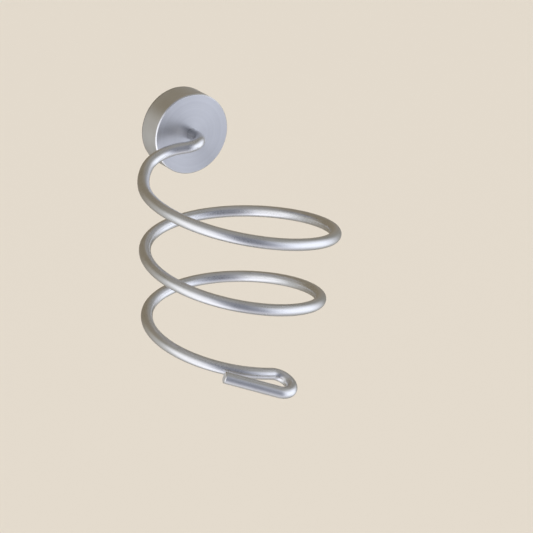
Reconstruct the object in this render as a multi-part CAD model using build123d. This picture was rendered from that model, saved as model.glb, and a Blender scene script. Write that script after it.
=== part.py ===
from build123d import *

import os
from math import cos, radians, sin, sqrt

# Hair dryer holder for a wall: a round rosette, and one bent rod that coils round the
# dryer's barrel and ends in a hook for its plug. Millimetres, +Z up. The origin is the
# centre of the rosette on the wall, and the holder stands out from the wall along -Y.

# Rod
ROD_DIAMETER = 6.0
END_BREAK = 0.4

# Rosette cup, measured along its own axis from the wall
CUP_DIAMETER = 43.0
CUP_DEPTH = 15.0
CUP_SIDE_WALL = 2.4
CUP_FRONT_WALL = 3.2
CUP_FRONT_CHAMFER = 0.5
CUP_BACK_CHAMFER = 0.4
CUP_INNER_FILLET = 1.0

# Seat of the rod in the cup's front, and the screw that pulls the rod into it
SEAT_DEPTH = 1.2
SEAT_CLEARANCE = 0.05
SCREW_HOLE_DIAMETER = 4.3
TAPPED_DIAMETER = 4.0
THREAD_CLEARANCE = 0.05
TAPPED_DEPTH = 6.0
SCREW_LENGTH = 8.0
SCREW_HEAD_DIAMETER = 8.0
SCREW_HEAD_HEIGHT = 2.8
SCREW_HEAD_FILLET = 1.5
CROSS_SPAN = 4.4
CROSS_WIDTH = 0.9
CROSS_DEPTH = 1.7
WASHER_OUTER_DIAMETER = 7.6
WASHER_INNER_DIAMETER = 4.2
WASHER_THICKNESS = 0.9
WASHER_SPLIT = 0.8
WASHER_SPLIT_ANGLE = 25.0

# Wall plate inside the cup
PLATE_DIAMETER = 37.2
PLATE_THICKNESS = 6.0
PLATE_CHAMFER = 0.4
GROOVE_FLOOR_WIDTH = 1.8
GROOVE_DEPTH = 1.5
WALL_HOLE_DIAMETER = 4.5
WALL_HOLE_SPACING = 21.0
COUNTERSINK_DIAMETER = 9.0

# Set screw from below through the cup's side into the plate's groove
SET_SCREW_LENGTH = 4.0
SET_SCREW_TIP_DIAMETER = 1.5
SET_SCREW_GAP = 0.05
HEX_ACROSS_FLATS = 2.0
HEX_DEPTH = 2.0

# Coil: the centreline of the rod, seen from above, starts at the left of its first turn
COIL_STANDOFF = 64.7
COIL_DROP = 18.0
COIL_RADIUS = 50.0
COIL_PITCH = 35.5
COIL_TAPER_PER_TURN = 3.8
COIL_LEAN = 6.5
COIL_START = -10.0
COIL_END = 810.0
COIL_STEP = 41.0

# Lead-in: a straight neck out of the rosette, then a bend towards the coil's left side
NECK_LENGTH = 5.2
BEND_RADIUS = 8.5
BEND_SWEEP = 116.0
BEND_DIP = 6.0

# Plug hook: a U-turn towards the user, and a straight bar back along the last turn
HOOK_RADIUS = 7.3
HOOK_SWEEP = 204.0
HOOK_DIP = 14.5
HOOK_BAR_LENGTH = 29.0

CUP_RADIUS = CUP_DIAMETER / 2
CUP_INNER_RADIUS = CUP_RADIUS - CUP_SIDE_WALL
FRONT_WALL_BACK = CUP_DEPTH - CUP_FRONT_WALL
SEAT_PLANE = CUP_DEPTH - SEAT_DEPTH
HEAD_PLANE = FRONT_WALL_BACK - WASHER_THICKNESS
PLATE_RADIUS = PLATE_DIAMETER / 2
GROOVE_HEIGHT = PLATE_THICKNESS / 2
SCREW_RADIUS = TAPPED_DIAMETER / 2 - THREAD_CLEARANCE

# Local +Z of this plane points away from the wall, and its local +Y is up
WALL = Plane(origin=(0, 0, 0), x_dir=(1, 0, 0), z_dir=(0, -1, 0))


def disc(radius, low, high):
    """A cylinder on the rosette's axis between two distances from the wall."""
    return Pos(0, 0, low) * Cylinder(radius, high - low, align=(Align.CENTER, Align.CENTER, Align.MIN))


def make_wall_plate():
    """Disc that is screwed to the wall, with a groove round its rim for the set screw."""
    half_floor = GROOVE_FLOOR_WIDTH / 2
    half_mouth = half_floor + GROOVE_DEPTH
    profile = Polyline(
        (0, 0),
        (PLATE_RADIUS, 0),
        (PLATE_RADIUS, GROOVE_HEIGHT - half_mouth),
        (PLATE_RADIUS - GROOVE_DEPTH, GROOVE_HEIGHT - half_floor),
        (PLATE_RADIUS - GROOVE_DEPTH, GROOVE_HEIGHT + half_floor),
        (PLATE_RADIUS, GROOVE_HEIGHT + half_mouth),
        (PLATE_RADIUS, PLATE_THICKNESS - PLATE_CHAMFER),
        (PLATE_RADIUS - PLATE_CHAMFER, PLATE_THICKNESS),
        (0, PLATE_THICKNESS),
        close=True,
    )
    plate = revolve(Plane.XZ * make_face(profile), Axis.Z)
    sink_depth = (COUNTERSINK_DIAMETER - WALL_HOLE_DIAMETER) / 2
    for side in (-1, 1):
        hole = disc(WALL_HOLE_DIAMETER / 2, 0, PLATE_THICKNESS)
        sink = Pos(0, 0, PLATE_THICKNESS - sink_depth) * Cone(
            WALL_HOLE_DIAMETER / 2,
            COUNTERSINK_DIAMETER / 2,
            sink_depth,
            align=(Align.CENTER, Align.CENTER, Align.MIN),
        )
        plate -= Pos(side * WALL_HOLE_SPACING / 2, 0, 0) * (hole + sink)
    return WALL.location * plate


def make_rosette_cup():
    """Turned cup over the plate, with the rod's seat in front and the set screw's hole below."""
    cup = disc(CUP_RADIUS, 0, CUP_DEPTH)
    cup = chamfer(cup.edges().group_by(Axis.Z)[-1], CUP_FRONT_CHAMFER)
    cup = chamfer(cup.edges().group_by(Axis.Z)[0], CUP_BACK_CHAMFER)
    hollow = disc(CUP_INNER_RADIUS, 0, FRONT_WALL_BACK)
    hollow = fillet(hollow.edges().group_by(Axis.Z)[-1], CUP_INNER_FILLET)
    cup -= hollow
    cup -= disc(SCREW_HOLE_DIAMETER / 2, FRONT_WALL_BACK, SEAT_PLANE)
    cup -= disc(ROD_DIAMETER / 2 + SEAT_CLEARANCE, SEAT_PLANE, CUP_DEPTH)
    side_hole = Pos(0, 0, GROOVE_HEIGHT) * Rot(90, 0, 0) * disc(TAPPED_DIAMETER / 2, 0, CUP_DIAMETER)
    cup -= side_hole
    return WALL.location * cup


def make_set_screw():
    """Grub screw with a cone point in the plate's groove and a hex socket facing down."""
    tip_radius = SET_SCREW_TIP_DIAMETER / 2
    tip_height = SCREW_RADIUS - tip_radius
    start = PLATE_RADIUS - GROOVE_DEPTH + SET_SCREW_GAP
    body = Cone(tip_radius, SCREW_RADIUS, tip_height, align=(Align.CENTER, Align.CENTER, Align.MIN))
    body += disc(SCREW_RADIUS, tip_height, SET_SCREW_LENGTH)
    socket = Pos(0, 0, SET_SCREW_LENGTH - HEX_DEPTH) * extrude(
        RegularPolygon(HEX_ACROSS_FLATS / 2, 6, major_radius=False), HEX_DEPTH
    )
    screw = Pos(0, 0, start) * (body - socket)
    return WALL.location * (Pos(0, 0, GROOVE_HEIGHT) * Rot(90, 0, 0) * screw)


def make_rod_screw():
    """Pan-head screw from inside the cup into the end of the rod."""
    low = HEAD_PLANE - SCREW_HEAD_HEIGHT
    head = disc(SCREW_HEAD_DIAMETER / 2, low, HEAD_PLANE)
    head = fillet(head.edges().group_by(Axis.Z)[0], SCREW_HEAD_FILLET)
    arm = Pos(0, 0, low) * Box(
        CROSS_SPAN, CROSS_WIDTH, CROSS_DEPTH, align=(Align.CENTER, Align.CENTER, Align.MIN)
    )
    cross = arm + Rot(0, 0, 90) * arm
    taper = Pos(0, 0, low) * Cone(
        CROSS_SPAN / 2, CROSS_WIDTH, CROSS_DEPTH, align=(Align.CENTER, Align.CENTER, Align.MIN)
    )
    head -= cross & taper
    shank = disc(SCREW_RADIUS, HEAD_PLANE, HEAD_PLANE + SCREW_LENGTH)
    shank = chamfer(shank.edges().group_by(Axis.Z)[-1], END_BREAK)
    return WALL.location * (head + shank)


def make_spring_washer():
    """Split lock washer between the screw's head and the cup's front wall."""
    ring = disc(WASHER_OUTER_DIAMETER / 2, HEAD_PLANE, FRONT_WALL_BACK)
    ring -= disc(WASHER_INNER_DIAMETER / 2, HEAD_PLANE, FRONT_WALL_BACK)
    middle = (HEAD_PLANE + FRONT_WALL_BACK) / 2
    slot = Box(WASHER_OUTER_DIAMETER, WASHER_SPLIT, 4 * WASHER_THICKNESS)
    ring -= Pos(WASHER_OUTER_DIAMETER / 2, 0, middle) * Rot(WASHER_SPLIT_ANGLE, 0, 0) * slot
    return WALL.location * ring


def coil_point(degrees):
    """A point of the coil's centreline: a conical helix whose axis leans to one side."""
    angle = radians(degrees)
    turns = degrees / 360
    radius = COIL_RADIUS - COIL_TAPER_PER_TURN * turns
    across = -radius * cos(angle)
    out = -radius * sin(angle)
    down = -COIL_PITCH * turns
    lean = radians(COIL_LEAN)
    x = across * cos(lean) + down * sin(lean)
    z = -across * sin(lean) + down * cos(lean)
    return Vector(x, out - COIL_STANDOFF, z - COIL_DROP)


def coil_direction(degrees):
    """The unit tangent of the coil's centreline, running down the coil."""
    step = 0.01
    return (coil_point(degrees + step) - coil_point(degrees - step)).normalized()


def tangent_arc(start, direction, end):
    """The arc from start to end that sets off along direction, and its final direction."""
    chord = (end - start).normalized()
    final = chord * (2 * chord.dot(direction)) - direction
    return TangentArc(start, end, tangent=direction), final.normalized()


def arc_pair(start, direction, end, end_direction):
    """Two arcs that join two points smoothly, with the given direction at each point."""
    chord = end - start
    along = chord.dot(direction + end_direction)
    turn = 2 * (1 - direction.dot(end_direction))
    reach = (sqrt(along**2 + turn * chord.dot(chord)) - along) / turn
    middle = (start + end + (direction - end_direction) * reach) * 0.5
    first, middle_direction = tangent_arc(start, direction, middle)
    second, _ = tangent_arc(middle, middle_direction, end)
    return [first, second]


def bend(start, direction, side, radius, sweep):
    """An arc of a given radius and sweep that turns towards side, and where it ends."""

    def at(angle):
        return start + direction * (radius * sin(angle)) + side * (radius * (1 - cos(angle)))

    angle = radians(sweep)
    final = direction * cos(angle) + side * sin(angle)
    return ThreePointArc(start, at(angle / 2), at(angle)), at(angle), final


def lead_in():
    """Neck out of the rosette, its bend, and the two arcs that run into the coil."""
    dip = radians(BEND_DIP)
    out = Vector(0, -1, 0)
    seat = out * SEAT_PLANE
    neck_end = out * (CUP_DEPTH + NECK_LENGTH)
    curve, bend_end, direction = bend(
        neck_end, out, Vector(-cos(dip), 0, -sin(dip)), BEND_RADIUS, BEND_SWEEP
    )
    run = arc_pair(bend_end, direction, coil_point(COIL_START), coil_direction(COIL_START))
    return [Line(seat, neck_end), curve] + run


def coil():
    """The coil as pairs of arcs between evenly spaced points of its helix."""
    edges = []
    steps = round((COIL_END - COIL_START) / COIL_STEP)
    for index in range(steps):
        low = COIL_START + index * COIL_STEP
        high = low + COIL_STEP
        edges += arc_pair(coil_point(low), coil_direction(low), coil_point(high), coil_direction(high))
    return edges


def plug_hook():
    """The U-turn and the bar that hold the plug, from the end of the coil."""
    start = coil_point(COIL_END)
    direction = coil_direction(COIL_END)
    outward = Vector(start.X, start.Y + COIL_STANDOFF, 0)
    outward = (outward - direction * outward.dot(direction)).normalized()
    downward = direction.cross(outward).normalized()
    if downward.Z > 0:
        downward = downward * -1
    dip = radians(HOOK_DIP)
    side = outward * cos(dip) + downward * sin(dip)
    turn, bar_start, bar_direction = bend(start, direction, side, HOOK_RADIUS, HOOK_SWEEP)
    return [turn, Line(bar_start, bar_start + bar_direction * HOOK_BAR_LENGTH)]


def make_spiral_rod():
    """The one rod: lead-in, coil and plug hook, tapped at the end that sits in the cup."""
    path = Wire(lead_in() + coil() + plug_hook())
    seat = Plane(origin=(0, -SEAT_PLANE, 0), z_dir=(0, -1, 0))
    rod = sweep(seat * Circle(ROD_DIAMETER / 2), path=path)
    free_end = rod.faces().sort_by_distance(path @ 1)[0]
    rod = chamfer(free_end.edges(), END_BREAK)
    rod -= WALL.location * disc(TAPPED_DIAMETER / 2, SEAT_PLANE, SEAT_PLANE + TAPPED_DEPTH)
    return rod


PIECES = {
    "wall_plate": make_wall_plate,
    "rosette_cup": make_rosette_cup,
    "set_screw": make_set_screw,
    "rod_screw": make_rod_screw,
    "spring_washer": make_spring_washer,
    "spiral_rod": make_spiral_rod,
}

os.makedirs("parts", exist_ok=True)
for name, make in PIECES.items():
    export_step(make(), f"parts/{name}.step")
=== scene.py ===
"""Hair dryer holder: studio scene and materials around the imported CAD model. Metres, +Z up.

The holder hangs from its wall face, the plane y = 0, and stands out along -Y. Every visible
piece is a CAD node that keeps its shape and gets a procedural finish in object space.
"""

from math import cos, radians, sin

import bpy
from mathutils import Euler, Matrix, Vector


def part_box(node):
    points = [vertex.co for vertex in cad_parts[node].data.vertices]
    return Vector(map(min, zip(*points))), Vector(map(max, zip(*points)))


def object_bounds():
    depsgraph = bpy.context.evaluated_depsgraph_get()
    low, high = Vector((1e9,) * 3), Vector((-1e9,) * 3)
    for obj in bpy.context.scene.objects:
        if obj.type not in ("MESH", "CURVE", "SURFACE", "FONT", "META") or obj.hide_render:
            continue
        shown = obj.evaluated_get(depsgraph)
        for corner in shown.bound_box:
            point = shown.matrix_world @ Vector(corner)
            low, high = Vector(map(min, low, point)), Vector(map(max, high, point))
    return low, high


MM = 0.001

# Camera: a long lens that looks at the holder from its left and from above
VIEW_AZIMUTH = -32.5
VIEW_ELEVATION = 23.2
VIEW_ROLL = 0.3
VIEW_DISTANCE = 1.0
VIEW_AIM = (0.0119, -0.0686, -0.0576)
LENS = 132.3
SENSOR_WIDTH = 36.0
VIEW_LIMIT = 50.0

# Floor, well below the holder, and the plain backdrop above its horizon
FLOOR_DROP = 0.8
FLOOR_SIZE = 60.0
FLOOR_COLOUR = (0.79, 0.725, 0.63)
FLOOR_ROUGHNESS = 0.9
FLOOR_SHINE = 0.2
BACKDROP_COLOUR = (0.776, 0.708, 0.610)

# Sun: it lights the floor evenly, and the metals don't mirror it
SUN_AZIMUTH = 50
SUN_ELEVATION = 52
SUN_STRENGTH = 2.3
SUN_SPREAD = 14

# Studio: soft boxes all round the holder, each a patch of the sky with soft edges.
# Azimuth 0 is in front of the wall, and grows towards +X. Angles in degrees.
# Name: azimuth, elevation, half width, half height, soft edge of each, colour
STUDIO_COLOUR = (0.215, 0.202, 0.155)
SOFT_BOXES = {
    "left_window": (-76, -14, 32, 54, 34, 70, (0.96, 0.98, 1.06)),
    "left_wall": (-124, -20, 25, 46, 42, 46, (0.235, 0.25, 0.27)),
    "right_window": (57, -8, 39, 38, 42, 58, (1.02, 1.08, 1.25)),
    "camera_side": (-15, 10, 40, 50, 40, 40, (0.0, 0.023, 0.11)),
    "right_wall": (122, 24, 26, 36, 32, 36, (0.055, 0.06, 0.075)),
    "low_right": (104, -36, 24, 13, 30, 22, (0.22, 0.23, 0.25)),
    "low_left": (-152, -38, 34, 22, 40, 26, (0.07, 0.085, 0.105)),
    "low_front": (-20, -52, 60, 24, 60, 38, (0.28, 0.29, 0.36)),
    "ceiling": (0, 90, 180, 35, 30, 30, (0.13, 0.135, 0.165)),
    "ground": (0, -90, 180, 35, 40, 30, (0.24, 0.245, 0.28)),
    "wall": (180, 0, 50, 60, 30, 30, (0.04, 0.015, 0.0)),
}

# Noise stays mostly near 0.5. These parts of its range are stretched to the full one
MIDDLE = (0.35, 0.65)
WIDE = (0.3, 0.7)

# Coil in millimetres: how far its axis stands from the wall, and its radius near the top
COIL_STANDOFF = 64.7
COIL_RADIUS = 48.0

# Sawn end of the hook's bar: its middle and a reach round it in millimetres, the way it faces,
# and the least cosine of an angle from there that still counts as facing that way
BAR_END = (-37.7, -108.6, -90.8)
BAR_END_REACH = 4.0
BAR_END_FACING = (-0.861, 0.374, 0.346)
BAR_END_COSINE = 0.9

# Finish of the rod. Each pair of colours is mixed by clouds or by marks
ROD_COLOURS = (0.765, 0.765, 0.775), (0.81, 0.81, 0.82)
ROD_GRAIN_COLOUR = (0.70, 0.70, 0.715)
ROD_ROUGHNESS = 0.30
LINES_AROUND = 14.0
LINES_ALONG = 25.0
RUB_COSINES = (0.55, 0.9)
RUB_POLISH = -0.07
SCRATCH_STRETCH = 0.06
SCRATCH_COLOUR = (0.88, 0.88, 0.89)
SCRATCH_SHOW = 0.3
SAWN_COLOURS = (0.84, 0.84, 0.84), (0.93, 0.93, 0.94)
SAWN_ROUGHNESS = 0.68
SAW_STRETCH = 0.1

# Zones of the rosette cup in millimetres. A margin keeps the edge of a zone inside it, and the
# dirt and painted shade of the back edge grow between two distances from the corner at the wall
CUP_CHAMFER = 0.5
CHAMFER_MARGIN = 0.04
FACE_MARGIN = 0.02
DIRT_AND_SHADE_START = 1.3
DIRT_AND_SHADE_FULL = 0.4

# Finish of the rosette cup
# Dirt and painted shade where the cup meets the wall: a dark colour on the back edge
DIRT_AND_SHADE_COLOUR = (0.24, 0.22, 0.19)
DIRT_AND_SHADE_SHOW = 0.8
CUP_COLOURS = (0.80, 0.805, 0.815), (0.845, 0.85, 0.86)
# Painted shade: the face and its rings get darker colours than the side of the same metal
SHADED_FACE_COLOURS = (0.54, 0.545, 0.57), (0.60, 0.605, 0.63)
FACE_RING_COLOUR = (0.47, 0.475, 0.50)
CHAMFER_COLOUR = (0.86, 0.86, 0.87)
SIDE_ROUGHNESS = 0.32
FACE_ROUGHNESS = 0.40
CHAMFER_ROUGHNESS = 0.26
TURNED_STRETCH = 0.6
QUARTER_TURN = 0.25

# Finish of the hidden steel pieces
ZINC_COLOURS = (0.72, 0.74, 0.79), (0.80, 0.78, 0.72)
ZINC_SPOT_COLOUR = (0.62, 0.63, 0.65)
ZINC_ROUGHNESS = 0.40
BLACK_COLOURS = (0.035, 0.035, 0.040), (0.16, 0.155, 0.15)
BLACK_ROUGHNESS = 0.42
BLACK_METALLIC = 0.85

# Seams between CAD faces: closer points are one point, and a sharper edge stays an edge
SEAM_GAP = 0.001 * MM
EDGE_ANGLE = 25

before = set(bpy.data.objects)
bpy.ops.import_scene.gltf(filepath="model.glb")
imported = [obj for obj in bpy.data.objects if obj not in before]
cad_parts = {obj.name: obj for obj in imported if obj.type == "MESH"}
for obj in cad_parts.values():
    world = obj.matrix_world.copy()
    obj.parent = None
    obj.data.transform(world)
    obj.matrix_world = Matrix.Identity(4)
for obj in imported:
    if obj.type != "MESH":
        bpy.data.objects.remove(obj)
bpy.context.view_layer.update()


def view_direction(azimuth, elevation):
    """Unit vector from the object towards a camera at that azimuth and elevation."""
    a, e = radians(azimuth), radians(elevation)
    return Vector((sin(a) * cos(e), -cos(a) * cos(e), sin(e)))


def make_camera():
    data = bpy.data.cameras.new("camera")
    data.lens = LENS
    data.sensor_width = SENSOR_WIDTH
    data.clip_end = VIEW_LIMIT
    camera = bpy.data.objects.new("camera", data)
    towards = view_direction(VIEW_AZIMUTH, VIEW_ELEVATION)
    camera.location = Vector(VIEW_AIM) + towards * VIEW_DISTANCE
    look = towards.to_track_quat("Z", "Y").to_matrix()
    camera.rotation_euler = (look @ Euler((0, 0, radians(VIEW_ROLL))).to_matrix()).to_euler()
    bpy.context.scene.collection.objects.link(camera)
    bpy.context.scene.camera = camera


class Nodes:
    """Short calls to build the node tree of a material or of the world."""

    def __init__(self, owner, shader):
        owner.use_nodes = True
        self.owner = owner
        self.tree = owner.node_tree
        self.shader = self.tree.nodes[shader]
        self.places = self.add("ShaderNodeTexCoord").outputs
        self.position = self.places["Object"]

    def add(self, kind, inputs=(), **settings):
        node = self.tree.nodes.new(kind)
        for key, value in settings.items():
            setattr(node, key, value)
        for key, value in dict(inputs).items():
            self.put(node.inputs[key], value)
        return node

    def put(self, socket, value):
        if isinstance(value, bpy.types.NodeSocket):
            self.tree.links.new(value, socket)
        elif socket.type == "RGBA":
            socket.default_value = (*value, 1)
        else:
            socket.default_value = value

    def set(self, **values):
        """Inputs of the shader. An underscore in a name stands for a space."""
        for key, value in values.items():
            self.put(self.shader.inputs[key.replace("_", " ")], value)

    def math(self, operation, *values):
        return self.add("ShaderNodeMath", enumerate(values), operation=operation).outputs[0]

    def total(self, first, *others):
        for value in others:
            first = self.math("ADD", first, value)
        return first

    def product(self, first, *others):
        for value in others:
            first = self.math("MULTIPLY", first, value)
        return first

    def vector(self, operation, first, second):
        """Number that an operation makes of two vectors."""
        inputs = {0: first, 1: second}
        return self.add("ShaderNodeVectorMath", inputs, operation=operation).outputs["Value"]

    def split(self, vector):
        return self.add("ShaderNodeSeparateXYZ", {0: vector}).outputs

    def join(self, x, y=0, z=0):
        return self.add("ShaderNodeCombineXYZ", {0: x, 1: y, 2: z}).outputs[0]

    def axis_distance(self):
        """Distance from the rosette's axis."""
        x, _, z = self.split(self.position)
        return self.math("SQRT", self.total(self.product(x, x), self.product(z, z)))

    def noise(self, size, detail=3.0, roughness=0.5, vector=None):
        """Noise whose features are about size metres across, from 0 to 1."""
        inputs = {
            "Vector": vector or self.position,
            "Scale": 1 / size,
            "Detail": detail,
            "Roughness": roughness,
        }
        return self.add("ShaderNodeTexNoise", inputs).outputs["Fac"]

    def spread(self, value, low, high, start, end):
        """Value from start..end mapped to low..high, held at both ends."""
        inputs = {0: value, 1: start, 2: end, 3: low, 4: high}
        return self.add("ShaderNodeMapRange", inputs).outputs[0]

    def mix(self, factor, first, second):
        return self.add("ShaderNodeMix", {0: factor, 2: first, 3: second}).outputs[0]

    def mix_colour(self, factor, first, second, blend="MIX"):
        node = self.add("ShaderNodeMix", data_type="RGBA", blend_type=blend)
        for index, value in ((0, factor), (6, first), (7, second)):
            self.put(node.inputs[index], value)
        return node.outputs[2]

    def bump(self, height, distance, strength=1.0, normal=None):
        """Relief of a height from 0 to 1 that is distance metres deep, on top of normal."""
        inputs = {"Height": height, "Strength": strength, "Distance": distance}
        if normal:
            inputs["Normal"] = normal
        return self.add("ShaderNodeBump", inputs).outputs["Normal"]


def new_material(name):
    return Nodes(bpy.data.materials.new(name), "Principled BSDF")


def coil_rub(nodes, position, normal):
    """1 where the rod faces the coil's axis and a dryer rubs it, in patches."""
    x, y, _ = position
    out = nodes.total(y, COIL_STANDOFF * MM)
    outward = nodes.total(nodes.product(normal[0], x), nodes.product(normal[1], out))
    inward = nodes.product(outward, -1 / (COIL_RADIUS * MM))
    patches = nodes.noise(9 * MM, detail=2, roughness=0.6)
    return nodes.product(
        nodes.spread(inward, 0, 1, *RUB_COSINES), nodes.spread(patches, 0.2, 1, 0.35, 0.6)
    )


def bar_end(nodes):
    """1 on the sawn end of the hook's bar."""
    away = nodes.vector("DISTANCE", nodes.position, [length * MM for length in BAR_END])
    facing = nodes.vector("DOT_PRODUCT", nodes.places["Normal"], BAR_END_FACING)
    near = nodes.math("LESS_THAN", away, BAR_END_REACH * MM)
    return nodes.product(near, nodes.math("GREATER_THAN", facing, BAR_END_COSINE))


def rod_aluminium():
    """Drawn rod, bead blasted and silver anodised, with rub marks inside the coil and a sawn end."""
    nodes = new_material("rod_aluminium")
    x, y, z = position = nodes.split(nodes.position)
    normals = nodes.split(nodes.places["Normal"])

    # Faint lines along the rod: they follow the height of the surface normal
    around = nodes.product(nodes.math("ARCSINE", normals[2]), LINES_AROUND)
    line_place = nodes.join(around, nodes.product(x, LINES_ALONG), nodes.product(y, LINES_ALONG))
    lines = nodes.noise(1.0, detail=4, roughness=0.65, vector=line_place)

    # Clouds of the anodising, and the grain and pits of the blasting
    clouds = nodes.noise(13 * MM, roughness=0.55)
    grain = nodes.noise(0.45 * MM, roughness=0.7)
    pits = nodes.noise(0.16 * MM, detail=2, roughness=0.6)
    colour = nodes.mix_colour(nodes.spread(clouds, 0, 1, *MIDDLE), *ROD_COLOURS)
    colour = nodes.mix_colour(nodes.spread(grain, 0, 0.5, 0.45, 0.75), colour, ROD_GRAIN_COLOUR)

    # Scratches up and down the rubbed side
    rub = coil_rub(nodes, position, normals)
    scratch_place = nodes.join(x, y, nodes.product(z, SCRATCH_STRETCH))
    scratches = nodes.noise(0.35 * MM, roughness=0.7, vector=scratch_place)
    scratches = nodes.product(nodes.spread(scratches, 0, 1, 0.58, 0.7), rub)
    colour = nodes.mix_colour(nodes.product(scratches, SCRATCH_SHOW), colour, SCRATCH_COLOUR)

    # The sawn end is paler and rougher than the blasted side, with the marks of the saw
    sawn = bar_end(nodes)
    saw_place = nodes.join(nodes.product(x, SAW_STRETCH), nodes.product(y, SAW_STRETCH), z)
    saw_marks = nodes.noise(0.25 * MM, roughness=0.7, vector=saw_place)
    colour = nodes.mix_colour(sawn, colour, nodes.mix_colour(saw_marks, *SAWN_COLOURS))

    roughness = nodes.total(
        ROD_ROUGHNESS,
        nodes.spread(clouds, -0.025, 0.025, *MIDDLE),
        nodes.spread(lines, -0.03, 0.03, *WIDE),
        nodes.spread(grain, -0.04, 0.05, *WIDE),
        nodes.product(rub, RUB_POLISH),
    )
    roughness = nodes.mix(sawn, roughness, SAWN_ROUGHNESS)
    normal = nodes.bump(pits, 0.006 * MM)
    normal = nodes.bump(grain, 0.010 * MM, normal=normal)
    normal = nodes.bump(lines, 0.010 * MM, normal=normal)
    normal = nodes.bump(scratches, -0.008 * MM, normal=normal)
    normal = nodes.bump(saw_marks, 0.02 * MM, sawn, normal)
    nodes.set(Base_Color=colour, Metallic=1.0, Roughness=roughness, Normal=normal)
    return nodes.owner


def cup_aluminium():
    """Turned cup: rings on its face and side, a bright cut on its front chamfer, a face darkened by
    painted shade, and a back edge darkened by dirt and painted shade.
    """
    nodes = new_material("cup_aluminium")
    low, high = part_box("rosette_cup")
    cup_radius = (high[0] - low[0]) / 2
    cup_depth = -low[1]
    depth = nodes.product(nodes.split(nodes.position)[1], -1)
    radius = nodes.axis_distance()

    # The zones: 1 on the chamfer, 1 on the face, and dirt with painted shade growing towards the back
    # edge
    past_chamfer = cup_radius + cup_depth - (CUP_CHAMFER + CHAMFER_MARGIN) * MM
    chamfer = nodes.math("GREATER_THAN", nodes.total(radius, depth), past_chamfer)
    face = nodes.math("GREATER_THAN", depth, cup_depth - FACE_MARGIN * MM)
    face = nodes.product(face, nodes.math("SUBTRACT", 1, chamfer))
    dirt_and_shade_edges = cup_radius - DIRT_AND_SHADE_START * MM, cup_radius - DIRT_AND_SHADE_FULL * MM
    dirt_and_shade = nodes.spread(nodes.math("SUBTRACT", radius, depth), 0, DIRT_AND_SHADE_SHOW, *dirt_and_shade_edges)

    # Tool marks: rings of the distance from the axis on the face, and of the depth on the side
    across = nodes.mix(face, depth, radius)
    wander = nodes.product(nodes.noise(6 * MM, detail=2), 0.15 * MM)
    ring_place = nodes.join(nodes.total(across, wander))
    rings = nodes.noise(0.22 * MM, detail=4, roughness=0.7, vector=ring_place)
    bands = nodes.noise(1.6 * MM, roughness=0.6, vector=nodes.join(across))
    clouds = nodes.noise(12 * MM, roughness=0.55)
    grain = nodes.noise(0.30 * MM, roughness=0.7)

    # Painted shade: the face is coloured darker than the side, with the tool rings over it
    shaded_ringed_face_colour = nodes.mix_colour(nodes.spread(bands, 0, 1, *WIDE), *SHADED_FACE_COLOURS)
    ring_show = nodes.spread(rings, 0, 0.6, 0.35, 0.75)
    shaded_ringed_face_colour = nodes.mix_colour(ring_show, shaded_ringed_face_colour, FACE_RING_COLOUR)
    colour = nodes.mix_colour(nodes.spread(clouds, 0, 1, *MIDDLE), *CUP_COLOURS)
    colour = nodes.mix_colour(face, colour, shaded_ringed_face_colour)
    colour = nodes.mix_colour(chamfer, colour, CHAMFER_COLOUR)
    # Dirt and painted shade darken the back edge where the cup meets the wall
    colour = nodes.mix_colour(dirt_and_shade, colour, DIRT_AND_SHADE_COLOUR)
    roughness = nodes.total(
        nodes.mix(face, SIDE_ROUGHNESS, FACE_ROUGHNESS),
        nodes.spread(rings, -0.04, 0.05, *WIDE),
        nodes.spread(clouds, -0.02, 0.02, *MIDDLE),
        nodes.spread(grain, -0.03, 0.03, *WIDE),
    )
    roughness = nodes.mix(chamfer, roughness, CHAMFER_ROUGHNESS)
    normal = nodes.bump(grain, 0.004 * MM)
    normal = nodes.bump(rings, 0.012 * MM, nodes.mix(chamfer, 1, 0.2), normal)
    nodes.set(Base_Color=colour, Metallic=1.0, Roughness=roughness, Normal=normal)

    # Highlights stretch across the rings
    tangent = nodes.add("ShaderNodeTangent", direction_type="RADIAL", axis="Y").outputs[0]
    stretch = nodes.mix(chamfer, TURNED_STRETCH, 0.0)
    nodes.set(Anisotropic=stretch, Anisotropic_Rotation=QUARTER_TURN, Tangent=tangent)
    return nodes.owner


def plated_steel():
    """Bright zinc plate: blue-grey and straw tints over fine lathe marks."""
    nodes = new_material("zinc_plated_steel")
    ring_place = nodes.join(nodes.total(nodes.axis_distance(), nodes.split(nodes.position)[1]))
    rings = nodes.noise(0.30 * MM, detail=4, roughness=0.7, vector=ring_place)
    tint = nodes.noise(9 * MM, roughness=0.6)
    spots = nodes.noise(0.8 * MM, detail=4, roughness=0.7)
    colour = nodes.mix_colour(nodes.spread(tint, 0, 1, *MIDDLE), *ZINC_COLOURS)
    colour = nodes.mix_colour(nodes.spread(spots, 0, 0.7, 0.55, 0.8), colour, ZINC_SPOT_COLOUR)
    roughness = nodes.total(
        ZINC_ROUGHNESS,
        nodes.spread(spots, -0.06, 0.10, *WIDE),
        nodes.spread(rings, -0.04, 0.04, *WIDE),
    )
    normal = nodes.bump(rings, 0.02 * MM)
    normal = nodes.bump(spots, 0.01 * MM, normal=normal)
    nodes.set(Base_Color=colour, Metallic=1.0, Roughness=roughness, Normal=normal)
    return nodes.owner


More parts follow.
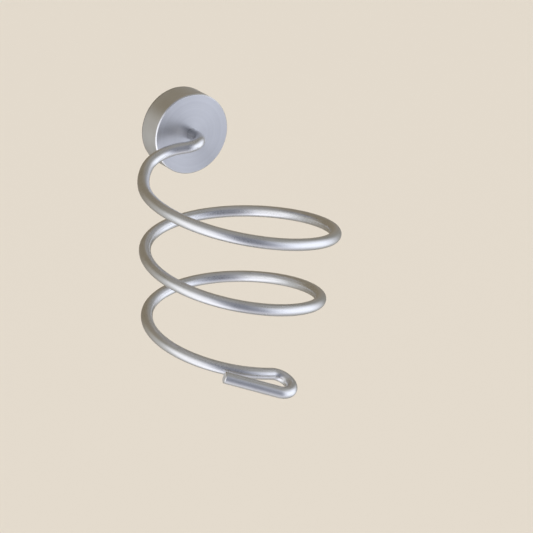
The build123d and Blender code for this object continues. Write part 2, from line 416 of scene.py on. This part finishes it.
def black_steel():
    """Black oxide on steel, rubbed paler in places."""
    nodes = new_material("black_steel")
    grain = nodes.noise(0.25 * MM, roughness=0.7)
    patches = nodes.noise(1.5 * MM, roughness=0.6)
    wear = nodes.spread(nodes.product(grain, patches), 0, 1, 0.26, 0.42)
    colour = nodes.mix_colour(wear, *BLACK_COLOURS)
    roughness = nodes.total(BLACK_ROUGHNESS, nodes.spread(grain, -0.08, 0.08, *WIDE))
    normal = nodes.bump(grain, 0.01 * MM)
    nodes.set(Base_Color=colour, Metallic=BLACK_METALLIC, Roughness=roughness, Normal=normal)
    return nodes.owner


def paint(material, *names):
    """Put a material on CAD nodes and keep their shape."""
    for name in names:
        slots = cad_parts[name].data.materials
        slots.clear()
        slots.append(material)


def join_seams():
    """Modifier on every CAD node that joins its faces, so that shading runs on across their seams."""
    group = bpy.data.node_groups.new("joined_seams", "GeometryNodeTree")
    for direction in ("INPUT", "OUTPUT"):
        group.interface.new_socket("Geometry", in_out=direction, socket_type="NodeSocketGeometry")
    start = group.nodes.new("NodeGroupInput")
    end = group.nodes.new("NodeGroupOutput")
    merge = group.nodes.new("GeometryNodeMergeByDistance")
    smooth = group.nodes.new("GeometryNodeSetShadeSmooth")
    angle = group.nodes.new("GeometryNodeInputMeshEdgeAngle")
    sharp = group.nodes.new("FunctionNodeCompare")
    normals = group.nodes.new("GeometryNodeSetMeshNormal")
    merge.inputs["Distance"].default_value = SEAM_GAP
    sharp.inputs[1].default_value = radians(EDGE_ANGLE)
    normals.inputs["Remove Custom"].default_value = True
    for source, target in (
        (start.outputs[0], merge.inputs["Geometry"]),
        (merge.outputs[0], smooth.inputs["Geometry"]),
        (smooth.outputs[0], normals.inputs[0]),
        (angle.outputs["Unsigned Angle"], sharp.inputs[0]),
        (sharp.outputs[0], normals.inputs["Edge Sharpness"]),
        (normals.outputs[0], end.inputs[0]),
    ):
        group.links.new(source, target)
    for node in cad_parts.values():
        node.modifiers.new("joined_seams", "NODES").node_group = group


def make_floor():
    """Plain floor, which no metal mirrors."""
    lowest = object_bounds()[0][2]
    bpy.ops.mesh.primitive_plane_add(size=FLOOR_SIZE, location=(0, 0, lowest - FLOOR_DROP))
    floor = bpy.context.object
    floor.name = "floor"
    nodes = new_material("floor_paint")
    nodes.set(Base_Color=FLOOR_COLOUR, Roughness=FLOOR_ROUGHNESS, Specular_IOR_Level=FLOOR_SHINE)
    floor.data.materials.append(nodes.owner)
    floor.visible_glossy = False
    floor.visible_shadow = False


def make_sun():
    data = bpy.data.lights.new("sun", "SUN")
    data.energy = SUN_STRENGTH
    data.angle = radians(SUN_SPREAD)
    sun = bpy.data.objects.new("sun", data)
    towards = view_direction(SUN_AZIMUTH, SUN_ELEVATION)
    sun.rotation_euler = towards.to_track_quat("Z", "Y").to_euler()
    sun.visible_glossy = False
    bpy.context.scene.collection.objects.link(sun)


def soft_box(nodes, azimuth, elevation, half_width, half_height, edge_width, edge_height):
    """1 inside a patch of the sky, falling to 0 across its soft edges."""
    turn = {"Vector": nodes.places["Generated"], "Axis": (0, 0, 1), "Angle": radians(-azimuth)}
    x, y, z = nodes.split(nodes.add("ShaderNodeVectorRotate", turn).outputs[0])
    across = nodes.math("ABSOLUTE", nodes.math("ARCTAN2", x, nodes.product(y, -1)))
    height = nodes.math("SUBTRACT", nodes.math("ARCSINE", z), radians(elevation))
    up = nodes.math("ABSOLUTE", height)
    inside = 1.0
    for angle, half, edge in ((across, half_width, edge_width), (up, half_height, edge_height)):
        soft = edge / 2
        limits = {0: angle, 1: radians(half - soft), 2: radians(half + soft), 3: 1, 4: 0}
        fade = nodes.add("ShaderNodeMapRange", limits, interpolation_type="SMOOTHSTEP").outputs[0]
        inside = nodes.product(inside, fade)
    return inside


def make_world():
    """Soft boxes that the metals mirror, and a plain backdrop that only the camera sees."""
    world = bpy.data.worlds.new("studio")
    nodes = Nodes(world, "Background")
    light = STUDIO_COLOUR
    for *place, colour in SOFT_BOXES.values():
        light = nodes.mix_colour(soft_box(nodes, *place), light, colour, "ADD")
    seen = nodes.add("ShaderNodeLightPath").outputs["Is Camera Ray"]
    nodes.set(Color=nodes.mix_colour(seen, light, BACKDROP_COLOUR), Strength=1.0)
    bpy.context.scene.world = world


join_seams()
make_camera()
make_world()
make_floor()
make_sun()
bpy.context.scene.view_settings.view_transform = "Standard"

paint(rod_aluminium(), "spiral_rod")
paint(cup_aluminium(), "rosette_cup")
paint(plated_steel(), "wall_plate", "rod_screw", "spring_washer")
paint(black_steel(), "set_screw")
